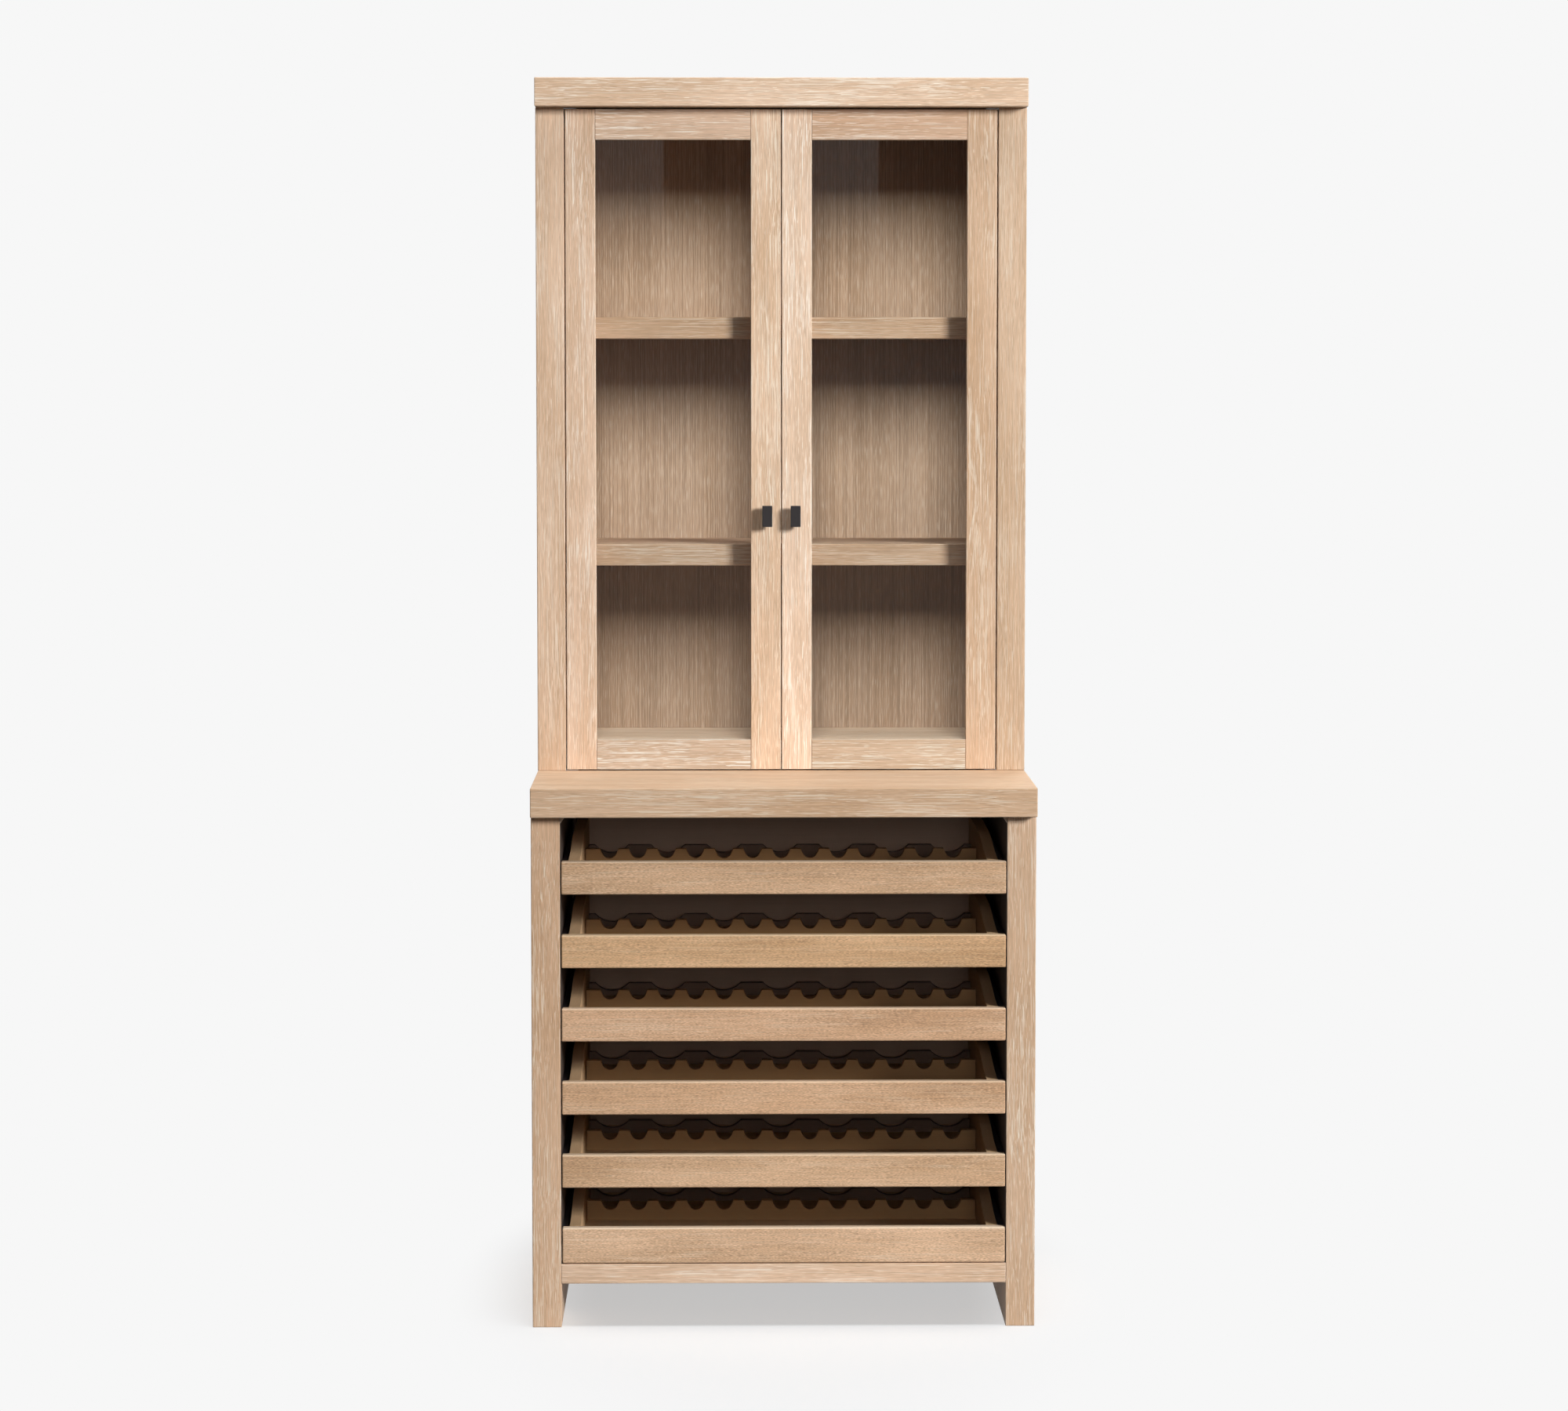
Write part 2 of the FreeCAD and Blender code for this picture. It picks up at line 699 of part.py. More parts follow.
# Drawer sizes. The drawers share the height between counter and deck, and their depth
# runs from the front of the sides almost to the back panel.
front_half = opening_half - cell.drawer_front_gap
drawer_pitch = (base_height - deck_top - cell.drawer_top_gap - cell.drawer_front_height
                - cell.last_front_drop - cell.drawer_front_gap) / (cell.drawer_count - 1)
box_front = base_front + cell.drawer_front_thickness
box_rear = base_back_front - cell.drawer_rear_gap
box_length = box_rear - box_front
box_half = opening_half - cell.slide_thickness
inside_half = box_half - cell.drawer_side_thickness
bottom_top = cell.drawer_bottom_lift + cell.drawer_bottom_thickness
side_low_height = cell.drawer_front_height - bottom_top
side_high_height = side_low_height + cell.drawer_side_rise
slide_length = box_length - cell.slide_front_gap - cell.slide_rear_gap
slide_level = bottom_top + cell.slide_above_box + cell.slide_height / 2


def make_drawer_side(name, x):
    """A drawer side: low at the front, then its top edge sweeps up in two equal arcs."""
    body = new_body(name)
    sketch = sketch_on(body, "YZ_Plane")
    start = box_length * cell.rise_start_share
    finish = box_length * cell.rise_end_share
    low = side_low_height
    high = side_high_height
    run = (finish - start).value
    rise = (high - low).value
    radius = (run * run + rise * rise) / (4 * rise)
    swing = math.asin(run / (2 * radius))
    spots = [(zero, zero), (box_length, zero), (box_length, high), (finish, high)]
    points = [FreeCAD.Vector(y.value, z.value, 0) for y, z in spots]
    low_end = FreeCAD.Vector(start.value, low.value, 0)
    for first, last in zip(points, points[1:]):
        sketch.addGeometry(Part.LineSegment(first, last))
    normal = FreeCAD.Vector(0, 0, 1)
    crown = Part.Circle(points[-1] - FreeCAD.Vector(0, radius, 0), normal, radius)
    sketch.addGeometry(Part.ArcOfCircle(crown, math.pi / 2, math.pi / 2 + swing))
    hollow = Part.Circle(low_end + FreeCAD.Vector(0, radius, 0), normal, radius)
    sketch.addGeometry(Part.ArcOfCircle(hollow, -math.pi / 2, -math.pi / 2 + swing))
    front_top = FreeCAD.Vector(0, low.value, 0)
    sketch.addGeometry(Part.LineSegment(low_end, front_top))
    sketch.addGeometry(Part.LineSegment(front_top, points[0]))
    for one, end, other, start_end in ((0, 2, 1, 1), (1, 2, 2, 1), (5, 2, 6, 1), (6, 2, 0, 1)):
        sketch.addConstraint(Sketcher.Constraint("Coincident", one, end, other, start_end))
    for one, end, other, start_end in ((2, 2, 3, 1), (3, 2, 4, 2), (4, 1, 5, 1)):
        sketch.addConstraint(Sketcher.Constraint("Tangent", one, end, other, start_end))
    sketch.addConstraint(Sketcher.Constraint("Equal", 3, 4))
    for index, (y, z) in enumerate(spots[:3]):
        fix_point(sketch, index, 1, y, z)
    fix_point(sketch, 2, 2, finish, high)
    fix_point(sketch, 5, 1, start, low)
    fix_point(sketch, 6, 1, zero, low)
    pad(body, sketch, cell.drawer_side_thickness)
    place(body, x, box_front, bottom_top)
    return body


def neck_notch(sketch, x, top):
    """A notch for a bottle neck: a round bottom with two flared flanks up to the mouth."""
    radius = cell.neck_notch_radius
    half = cell.neck_notch_mouth / 2
    centre = top - cell.neck_notch_depth + radius
    corner_x = half.value
    corner_z = (top - centre).value
    reach = math.hypot(corner_x, corner_z)
    angle = math.atan2(corner_z, corner_x) - math.acos(radius.value / reach)
    middle = FreeCAD.Vector(x.value, centre.value, 0)
    right_end = middle + FreeCAD.Vector(math.cos(angle), math.sin(angle), 0) * radius.value
    left_end = middle + FreeCAD.Vector(-math.cos(angle), math.sin(angle), 0) * radius.value
    high = top + cell.overrun
    corners = [(x - half, high), (x - half, top), (x + half, top), (x + half, high)]
    spots = [FreeCAD.Vector(a.value, b.value, 0) for a, b in corners]
    sketch.addGeometry(Part.LineSegment(spots[0], spots[1]))
    sketch.addGeometry(Part.LineSegment(spots[1], left_end))
    round_line = Part.Circle(middle, FreeCAD.Vector(0, 0, 1), radius.value)
    sketch.addGeometry(Part.ArcOfCircle(round_line, math.pi - angle, 2 * math.pi + angle))
    sketch.addGeometry(Part.LineSegment(right_end, spots[2]))
    sketch.addGeometry(Part.LineSegment(spots[2], spots[3]))
    sketch.addGeometry(Part.LineSegment(spots[3], spots[0]))
    for one, other in ((0, 1), (3, 4), (4, 5), (5, 0)):
        sketch.addConstraint(Sketcher.Constraint("Coincident", one, 2, other, 1))
    sketch.addConstraint(Sketcher.Constraint("Tangent", 1, 2, 2, 1))
    sketch.addConstraint(Sketcher.Constraint("Tangent", 2, 2, 3, 1))
    fix(sketch, "Radius", radius, 2)
    fix_point(sketch, 2, 3, x, centre)
    for item, (a, b) in zip((0, 1, 4, 5), corners):
        fix_point(sketch, item, 1, a, b)


def body_cradle(sketch, x, top):
    """A shallow round cradle for a bottle's body."""
    radius = cell.body_cradle_radius
    centre = top - cell.body_cradle_depth + radius
    high = top + cell.overrun
    dip = (radius - cell.body_cradle_depth).value
    angle = math.asin(dip / radius.value)
    half = radius.value * math.cos(angle)
    middle = FreeCAD.Vector(x.value, centre.value, 0)
    left_end = FreeCAD.Vector(x.value - half, top.value, 0)
    right_end = FreeCAD.Vector(x.value + half, top.value, 0)
    left_top = FreeCAD.Vector(x.value - half, high.value, 0)
    right_top = FreeCAD.Vector(x.value + half, high.value, 0)
    round_line = Part.Circle(middle, FreeCAD.Vector(0, 0, 1), radius.value)
    sketch.addGeometry(Part.ArcOfCircle(round_line, math.pi + angle, 2 * math.pi - angle))
    sketch.addGeometry(Part.LineSegment(right_end, right_top))
    sketch.addGeometry(Part.LineSegment(right_top, left_top))
    sketch.addGeometry(Part.LineSegment(left_top, left_end))
    for one, other in ((0, 1), (1, 2), (2, 3), (3, 0)):
        sketch.addConstraint(Sketcher.Constraint("Coincident", one, 2, other, 1))
    for upright in (1, 3):
        sketch.addConstraint(Sketcher.Constraint("Vertical", upright))
    sketch.addConstraint(Sketcher.Constraint("Horizontal", 2))
    fix(sketch, "Radius", radius, 0)
    fix_point(sketch, 0, 3, x, centre)
    for end in (1, 2):
        fix(sketch, "DistanceY", top, -1, 1, 0, end)
    fix(sketch, "DistanceY", high, -1, 1, 2, 1)


def make_rack(name, share, height, draw_notch, first, spacing, count):
    """A board across the drawer with a row of like notches along its top edge."""
    length = (inside_half - cell.rack_end_gap) * 2
    body = new_body(name)
    sketch = sketch_on(body, "XZ_Plane")
    rectangle(sketch, zero, zero, length, height)
    pad(body, sketch, cell.rack_thickness, flipped=True)
    notch = sketch_on(body, "XZ_Plane")
    draw_notch(notch, first, height)
    notch_cut = pocket(body, notch, cell.rack_thickness)
    row = body.newObject("PartDesign::LinearPattern", "NotchRow")
    row.Originals = [notch_cut]
    row.Direction = (notch, ["H_Axis"])
    bind(row, "Length", spacing * (count - 1))
    bind(row, "Occurrences", count)
    body.Tip = row
    face = base_front + (box_rear - base_front) * share - cell.rack_thickness / 2
    place(body, -length / 2, face, bottom_top)
    return body


def slide_outlines(sign):
    """The three nested members' outlines, from the cabinet wall inwards, as x and z."""
    metal = cell.slide_metal
    gap = cell.slide_running_gap
    full = cell.slide_thickness
    outer = cell.slide_height / 2
    middle = outer - metal - gap
    inner = middle - metal - gap
    web = (full - metal) / 2
    lip = cell.slide_lip
    drawer_lip = web + metal + gap
    cabinet = [(0, -outer), (lip, -outer), (lip, metal - outer), (metal, metal - outer),
               (metal, outer - metal), (lip, outer - metal), (lip, outer), (0, outer)]
    near = metal + gap
    far = full - gap
    moving = [(near, -middle), (far, -middle), (far, metal - middle),
              (web + metal, metal - middle), (web + metal, middle - metal),
              (far, middle - metal), (far, middle), (near, middle),
              (near, middle - metal), (web, middle - metal),
              (web, metal - middle), (near, metal - middle)]
    drawer = [(full, -inner), (drawer_lip, -inner), (drawer_lip, metal - inner),
              (full - metal, metal - inner), (full - metal, inner - metal),
              (drawer_lip, inner - metal), (drawer_lip, inner), (full, inner)]
    return [[(as_size(x) * -sign, z) for x, z in corners]
            for corners in (cabinet, moving, drawer)]


def slide_member(name, corners, sign, level):
    body = new_body(name)
    sketch = sketch_on(body, "XZ_Plane")
    outline(sketch, corners)
    pad(body, sketch, slide_length, flipped=True)
    place(body, opening_half * sign, box_front + cell.slide_front_gap, level)
    return body


cabinet_members = []


def make_drawer(number):
    """One drawer: front, box, three racks, and its share of the two slides."""
    name = f"drawer_{number}"
    last = number == cell.drawer_count.value
    drop = cell.last_front_drop if last else zero
    level = (base_height - cell.drawer_top_gap - cell.drawer_front_height
             - drawer_pitch * (number - 1))

    front = board(f"{name}_front", front_half * 2, cell.drawer_front_thickness,
                  cell.drawer_front_height + drop, -front_half, base_front, level - drop,
                  cell.drawer_edge_radius)
    keep(f"{name}_front", front)

    back = board(f"{name}_back", inside_half * 2, cell.drawer_back_thickness,
                 side_high_height, -inside_half, box_rear - cell.drawer_back_thickness,
                 bottom_top)
    bottom = board(f"{name}_bottom", box_half * 2, box_length, cell.drawer_bottom_thickness,
                   -box_half, box_front, cell.drawer_bottom_lift)
    sides = [make_drawer_side(f"{name}_side", x) for x in (-box_half, inside_half)]
    keep_group(f"{name}_box", sides + [back, bottom], z=level)

    rack_length = (inside_half - cell.rack_end_gap) * 2
    pitch = (rack_length - cell.rack_end_land * 2) / (cell.bottle_count - 1)
    first = cell.rack_end_land
    racks = [
        make_rack(f"{name}_front_rack", cell.front_rack_share, cell.body_rack_height,
                  body_cradle, first + pitch, pitch * 2, (cell.bottle_count / 2).whole()),
        make_rack(f"{name}_middle_rack", cell.middle_rack_share, cell.neck_rack_height,
                  neck_notch, first, pitch, cell.bottle_count),
        make_rack(f"{name}_rear_rack", cell.rear_rack_share, cell.body_rack_height,
                  body_cradle, first, pitch * 2, ((cell.bottle_count + 1) / 2).whole()),
    ]
    keep_group(f"{name}_racks", racks, z=level)

    moving_members = []
    drawer_members = []
    for sign in (-1, 1):
        cabinet, moving, drawer = slide_outlines(sign)
        cabinet_members.append(slide_member(f"{name}_cabinet_member", cabinet, sign,
                                            level + slide_level))
        moving_members.append(slide_member(f"{name}_moving_member", moving, sign,
                                           level + slide_level))
        drawer_members.append(slide_member(f"{name}_drawer_member", drawer, sign,
                                           level + slide_level))
    keep_group(f"{name}_moving_slides", moving_members)
    keep_group(f"{name}_runners", drawer_members)


for number in range(1, int(cell.drawer_count.value) + 1):
    make_drawer(number)
keep_group("cabinet_slides", cabinet_members)

# Nothing is written unless every object built and every sub-part is a sound solid.
doc.recompute()
for item in doc.Objects:
    if "Invalid" in item.State or "Error" in item.State:
        raise RuntimeError(f"{item.Name} failed: {item.State}")
for name, item in nodes.items():
    if item.Shape.isNull() or not item.Shape.isValid():
        raise RuntimeError(f"{name} has no sound shape")

os.makedirs("parts", exist_ok=True)
for name, item in nodes.items():
    item.Shape.exportStep(os.path.join("parts", f"{name}.step"))
print(len(nodes), "sub-parts")
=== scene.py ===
import math

import bmesh
import bpy
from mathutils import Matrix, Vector


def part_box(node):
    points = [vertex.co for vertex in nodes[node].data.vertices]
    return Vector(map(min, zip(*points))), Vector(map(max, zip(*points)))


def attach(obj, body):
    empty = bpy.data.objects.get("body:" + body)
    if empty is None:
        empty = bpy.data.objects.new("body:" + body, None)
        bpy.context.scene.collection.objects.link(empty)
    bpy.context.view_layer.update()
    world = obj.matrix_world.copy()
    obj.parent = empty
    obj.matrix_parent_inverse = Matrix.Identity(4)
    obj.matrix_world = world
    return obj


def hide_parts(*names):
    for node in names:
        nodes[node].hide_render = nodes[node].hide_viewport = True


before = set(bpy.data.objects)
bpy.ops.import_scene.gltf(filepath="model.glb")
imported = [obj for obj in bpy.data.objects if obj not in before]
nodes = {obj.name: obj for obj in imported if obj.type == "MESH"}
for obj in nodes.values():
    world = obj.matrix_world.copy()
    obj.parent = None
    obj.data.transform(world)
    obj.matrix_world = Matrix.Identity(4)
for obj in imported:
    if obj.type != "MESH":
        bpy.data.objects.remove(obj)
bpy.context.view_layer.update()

# Base side panels
# Two slabs of pale limed oak, 47 mm thick, that run down to the floor as sledge feet.
# The grain stands upright. White paste fills the open pores under a matt lacquer.


class Shade:
    """One output of a material's nodes. Arithmetic on it adds the nodes that work it out."""

    def __init__(self, tree, socket=None):
        self.tree = tree
        self.socket = socket

    def node(self, kind, settings=None, sockets=None, output=0):
        """Adds a node: its settings first, then the values or links of its sockets."""
        made = self.tree.nodes.new(kind)
        for name, value in (settings or {}).items():
            setattr(made, name, value)
        for name, value in (sockets or {}).items():
            if isinstance(value, Shade):
                self.tree.links.new(value.socket, made.inputs[name])
            else:
                made.inputs[name].default_value = value
        return Shade(self.tree, made.outputs[output] if made.outputs else None)

    def part(self, name):
        """Another output of the same node."""
        return Shade(self.tree, self.socket.node.outputs[name])

    def reckon(self, operation, first, second):
        """Sums of numbers take a Math node, of places Vector Math, and of colours a Mix."""
        pair = [first, second]
        kinds = {item.socket.type for item in pair if isinstance(item, Shade)}
        for index, item in enumerate(pair):
            if isinstance(item, (int, float)) and kinds != {"VALUE"}:
                pair[index] = (item, item, item)
            if isinstance(pair[index], tuple) and "RGBA" in kinds:
                pair[index] = (*pair[index], 1.0)
        if "RGBA" in kinds:
            settings = {"data_type": "RGBA", "blend_type": operation}
            return self.node("ShaderNodeMix", settings, {0: 1.0, 6: pair[0], 7: pair[1]}, 2)
        kind = "ShaderNodeVectorMath" if "VECTOR" in kinds else "ShaderNodeMath"
        return self.node(kind, {"operation": operation}, {0: pair[0], 1: pair[1]})

    def __add__(self, other):
        return self.reckon("ADD", self, other)

    def __sub__(self, other):
        return self.reckon("SUBTRACT", self, other)

    def __rsub__(self, other):
        return self.reckon("SUBTRACT", other, self)

    def __mul__(self, other):
        return self.reckon("MULTIPLY", self, other)

    def __truediv__(self, other):
        return self.reckon("DIVIDE", self, other)

    def __rtruediv__(self, other):
        return self.reckon("DIVIDE", other, self)

    __radd__ = __add__
    __rmul__ = __mul__


def ease(value, start, end):
    """0 at start and before it, 1 from end on, and smooth between. End may be the lower."""
    settings = {"interpolation_type": "SMOOTHSTEP"}
    sockets = {"Value": value, "From Min": start, "From Max": end}
    return value.node("ShaderNodeMapRange", settings, sockets)


def blend(share, first, second):
    """The first colour where share is 0, the second where it is 1."""
    first, second = (c if isinstance(c, Shade) else (*c, 1.0) for c in (first, second))
    shade = next(c for c in (share, first, second) if isinstance(c, Shade))
    sockets = {0: share, 6: first, 7: second}
    return shade.node("ShaderNodeMix", {"data_type": "RGBA"}, sockets, 2)


def noise(space, stretch, detail=1.0, roughness=0.5):
    """Soft noise. Stretch gives its features to the metre along each of the directions."""
    sockets = {"Vector": space * stretch, "Scale": 1.0, "Detail": detail,
               "Roughness": roughness}
    return space.node("ShaderNodeTexNoise", None, sockets)


def root(value):
    return value.node("ShaderNodeMath", {"operation": "SQRT"}, {0: value})


def above(value, level):
    return value.node("ShaderNodeMath", {"operation": "GREATER_THAN"}, {0: value, 1: level})


def at_most_one(value):
    return value.node("ShaderNodeMath", {"operation": "MINIMUM"}, {0: value, 1: 1.0})


def unsigned(value):
    return value.node("ShaderNodeMath", {"operation": "ABSOLUTE"}, {0: value})


def fraction(value):
    return value.node("ShaderNodeMath", {"operation": "FRACT"}, {0: value})


def vector(x, y, z):
    return x.node("ShaderNodeCombineXYZ", None, {0: x, 1: y, 2: z})


def object_place(shade):
    """The point on the piece, in metres, as x, y and z."""
    place = shade.node("ShaderNodeTexCoord", output="Object")
    spot = place.node("ShaderNodeSeparateXYZ", None, {0: place})
    return {axis: spot.part(axis) for axis in "XYZ"}


def open_material(name):
    material = bpy.data.materials.new(name)
    material.use_nodes = True
    material.node_tree.nodes.clear()
    return material, Shade(material.node_tree)


def close_material(material, surface):
    surface.node("ShaderNodeOutputMaterial", None, {"Surface": surface})
    return material


EASED_EDGE = 0.0020


def rounded(shade, radius):
    """The way the surface faces once its edges are rounded by this radius."""
    return shade.node("ShaderNodeBevel", {"samples": 4}, {"Radius": radius})


def bump(height, strength, distance, edge=EASED_EDGE):
    """The way the surface faces with this relief on it and its edges rounded."""
    sockets = {"Height": height, "Strength": strength, "Distance": distance,
               "Normal": rounded(height, edge)}
    return height.node("ShaderNodeBump", None, sockets)


def painted_edge_highlight(shade):
    """1 along the rounded edges and 0 on the faces: a painted highlight where the eased edges
    catch the light.
    """
    facing = shade.node("ShaderNodeNewGeometry", output="Normal")
    bend = shade.node("ShaderNodeVectorMath", {"operation": "DOT_PRODUCT"},
                      {0: rounded(shade, EASED_EDGE), 1: facing}, "Value")
    return 1 - ease(bend, 0.86, 0.995)


def lacquered(material, colour, roughness, normal, specular=0.35):
    """Wood under a thin lacquer. Specular is how much it shines."""
    sockets = {"Base Color": colour, "Roughness": roughness, "Normal": normal,
               "Specular IOR Level": specular}
    surface = colour.node("ShaderNodeBsdfPrincipled", None, sockets)
    return close_material(material, surface)


OAK_WARM = (0.66, 0.455, 0.305)
OAK_PALE = (0.76, 0.555, 0.405)
OAK_DARK = (0.36, 0.21, 0.12)
LIME_WHITE = (0.97, 0.89, 0.77)
# SHADE_BROWN is the dark brown of the painted shade inside the base and the hutch
SHADE_BROWN = (0.075, 0.058, 0.05)
# The staves of a glued panel: their width, where one starts, and how far up the tree each
# is cut from the last. The two boards of one node are cut further apart.
STAVE_WIDTH = 0.11
STAVE_START = 0.024
STAVE_SHIFT = 1.37
TWIN_SHIFT = 3.7
# Features to the metre, along the grain and across it
SWAY = (3.2, 14.0, 14.0)
WOBBLE = (22.0, 60.0, 60.0)
FIBRES = (8.0, 1100.0, 1100.0)
FLECKS_ACROSS = 1300.0
LINES = (10.0, 1100.0, 1100.0)
BANDS = (4.0, 26.0, 26.0)
MOTTLES = (3.0, 15.0, 15.0)
# Takes a second noise away from the places of the first
ELSEWHERE = (3.1, 1.7, 2.3)


def oak(name, along, heart, seed, tint=(1.0, 1.0, 1.0), lime=0.6, ring=0.006, figure=0.006,
        grit=0.30, fleck=0.018, patch=0.06, glued=False, flow=None, twin=None, painted_shade=None,
        seam=None, highlight=None):
    """Limed oak whose rings run round a heart line, given by its two places across the grain.

    lime is how much paste the pores hold, ring the width of a year, figure how far the
    grain strays, and fleck the length of a pore. grit and patch are the change of tone from
    pore to pore and along the board.
    glued is for a wide panel, glued up from staves that lie side by side in its depth.
    twin parts two boards of one node: an axis, the level between, and the other's tint.
    flow replaces the place along and across the grain where a node has boards both ways.
    painted_shade tells where the wood is darkened as painted shade, seam where dirt lies in a
    joint, and highlight where an edge takes a painted highlight, in place of all its eased
    edges."""
    material, wood = open_material(name)
    place = object_place(wood)
    if flow is None:
        run = place[along]
        over, through = (place[axis] for axis in "XYZ" if axis != along)
    else:
        run, over, through = flow(place)
    run = run + seed
    board_tone = 1.0
    if glued:
        staves = (place["Y"] - STAVE_START) / STAVE_WIDTH
        which = staves - fraction(staves)
        run = run + which * STAVE_SHIFT
        board_tone = 0.95 + 0.1 * noise(vector(which, which, which), (0.73, 0.0, 0.0), 0.0)
    if twin is not None:
        axis, level, other_tint = twin
        other = above(place[axis], level)
        run = run + other * TWIN_SHIFT
        tint = blend(other, tint, other_tint)
    straight = vector(run, over, through)
    sway = (noise(straight, SWAY, 2.0) - 0.5) * figure
    wobble = (noise(straight, WOBBLE, 1.0) - 0.5) * 0.0008
    space = vector(run, over + sway + wobble, through + sway + wobble)

    # Growth rings of uneven width, soft and open where each year starts
    aside = over - heart[0]
    behind = through - heart[1]
    age = (root(aside * aside + behind * behind) + sway * 2.0) / ring
    uneven = noise(vector(age, age, age), (0.37, 0.0, 0.0)) - 0.5
    year = fraction(age + uneven * 2.2)
    early = (1 - ease(year, 0.05, 0.5)) + ease(year, 0.88, 1.0)

    # Fibres, and pores that hold lime, in short flecks and in long lines
    fibre = ease(noise(space, FIBRES), 0.3, 0.7)
    short = noise(space, (1 / fleck, FLECKS_ACROSS, FLECKS_ACROSS), 0.0)
    long = noise(space + ELSEWHERE, LINES, 0.0)
    band = ease(noise(straight, BANDS, 2.0, 0.6), 0.38, 0.62)
    wealth = band * (0.08 + 0.07 * early)
    flecks = ease(short + wealth, 0.73, 0.77)
    lines = ease(long + wealth, 0.72, 0.745)
    limed = at_most_one(flecks * 0.7 + lines)
    dark = ease(short, 0.28, 0.20)

    mottle = ease(noise(straight, MOTTLES, 3.0), 0.3, 0.7)
    tone = 1 + grit * (short - 0.5) + 0.18 * (fibre - 0.5) + patch * (mottle - 0.5)
    colour = blend(mottle * 0.75 + 0.25 * early, OAK_WARM, OAK_PALE) * (tone * board_tone)
    colour = blend(dark * 0.3, colour, OAK_DARK)
    colour = blend(limed * lime, colour, LIME_WHITE)
    # Painted highlight: the eased edges are lightened toward lime white
    edge_highlight = painted_edge_highlight(wood) if highlight is None else highlight(place)
    colour = blend(edge_highlight * 0.62, colour, LIME_WHITE) * tint
    # Painted shade: the wood is darkened where it lies in shade inside the cabinet
    if painted_shade is not None:
        colour = blend(painted_shade(place), colour, SHADE_BROWN)
    if seam is not None:
        colour = blend(seam(place) * 0.8, colour, OAK_DARK)
    height = fibre * 0.5 - flecks * 0.4 - lines * 0.6
    return lacquered(material, colour, 0.52 + 0.16 * limed + 0.06 * mottle,
                     bump(height, 0.35, 0.0003))


def dress(name, material):
    """Gives a node of the model its finish."""
    for slot in nodes[name].material_slots:
        slot.material = material


# A mask for one face ends this far beyond it
PAST_FACE = 0.0004
deck_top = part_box("base_deck")[1].z
inner_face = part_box("base_side_right")[0].x


def painted_shade_inside(place):
    """The inner faces above the deck, between the drawers' slides, are darkened: painted shade
    deep in the base.
    """
    outside = above(unsigned(place["X"]), inner_face + PAST_FACE)
    return (1 - outside) * above(place["Z"], deck_top)


for side, sign, seed, tint in (("left", -1, 5.41, (0.865, 0.795, 0.72)),
                               ("right", 1, 13.01, (0.875, 0.84, 0.795))):
    finish = oak(f"base_side_oak_{side}", "Z", (0.30 * sign, -0.42), seed, tint=tint,
                 lime=0.85, figure=0.016, glued=True, painted_shade=painted_shade_inside)
    dress(f"base_side_{side}", finish)

# Deck
# The fixed oak shelf under the lowest drawer, let in between the side panels. Its grain
# runs from side to side.
dress("base_deck", oak("deck_oak", "X", (0.4, -0.2), 8.21, tint=(1.01, 1.0, 0.995),
                       lime=0.5, glued=True))

# Back panels
# Thin veneered boards held in grooves in the side panels. The hutch's is of straight
# rift-cut veneer that stands upright; the one behind the drawers is a darker brown.
LEAF_WIDTH = 0.13
hutch_back_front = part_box("hutch_back")[0].y
# The levels between which the painted shade low in the hutch ends, and the painted shade under
# the lower shelf starts and ends
LOW_SHADE_END = (1.10, 1.23)
SHELF_SHADE_START = (1.095, 1.14)
SHELF_SHADE_END = (1.22, 1.25)


def veneer(name, seed, tint, lime):
    """Straight-grained upright veneer in leaves, each cut from another part of the tree.

    The hutch's front face is darkened low down and under the lower shelf: painted shade."""
    material, wood = open_material(name)
    place = object_place(wood)
    leaf = place["X"] / LEAF_WIDTH
    leaf = leaf - fraction(leaf)
    run = place["Z"] + seed + leaf * 0.618
    over = place["X"] + leaf * 0.031
    straight = vector(run, over, place["Y"])
    sway = (noise(straight, (2.0, 9.0, 9.0), 2.0) - 0.5) * 0.005
    wobble = (noise(straight, (30.0, 90.0, 90.0), 1.0) - 0.5) * 0.0007
    space = vector(run, over + (sway + wobble), place["Y"])
    ribs = ease(noise(space, (2.6, 900.0, 10.0)), 0.34, 0.66)
    short = noise(space + ELSEWHERE, (45.0, 1200.0, 10.0), 0.0)
    flecks = ease(short + 0.12 * ribs, 0.66, 0.78)
    broad = ease(noise(space, (1.1, 16.0, 1.0), 2.0), 0.3, 0.7)
    colour = blend(broad * 0.6 + 0.3 * ribs, OAK_WARM, OAK_PALE)
    colour = colour * (0.75 + 0.32 * ribs + 0.42 * (short - 0.5))
    colour = blend(flecks * lime, colour, LIME_WHITE) * tint
    # Painted shade on the front face, low in the hutch and just under the lower shelf
    level = place["Z"]
    painted_low_shade = 1 - ease(level, *LOW_SHADE_END)
    painted_shelf_shade = ease(level, *SHELF_SHADE_START) * (1 - ease(level, *SHELF_SHADE_END))
    front_face = 1 - above(place["Y"], hutch_back_front + PAST_FACE)
    colour = colour * (1.0 - 0.17 * front_face * (painted_low_shade + painted_shelf_shade))
    return lacquered(material, colour, 0.55 + 0.1 * flecks, bump(ribs - flecks, 0.2, 0.0003))


dress("base_back", veneer("base_back_veneer", 2.0, (0.62, 0.56, 0.58), 0.1))
dress("hutch_back", veneer("hutch_back_veneer", 5.0, (0.565, 0.535, 0.515), 0.4))

# Counter
# One limed oak slab over the base, glued up from staves with their grain from side to
# side. Its edges are square and just eased.
dress("counter_top", oak("counter_oak", "X", (-0.9, 0.72), 15.11, tint=(0.815, 0.77, 0.705),
                         lime=0.7, figure=0.008, glued=True))

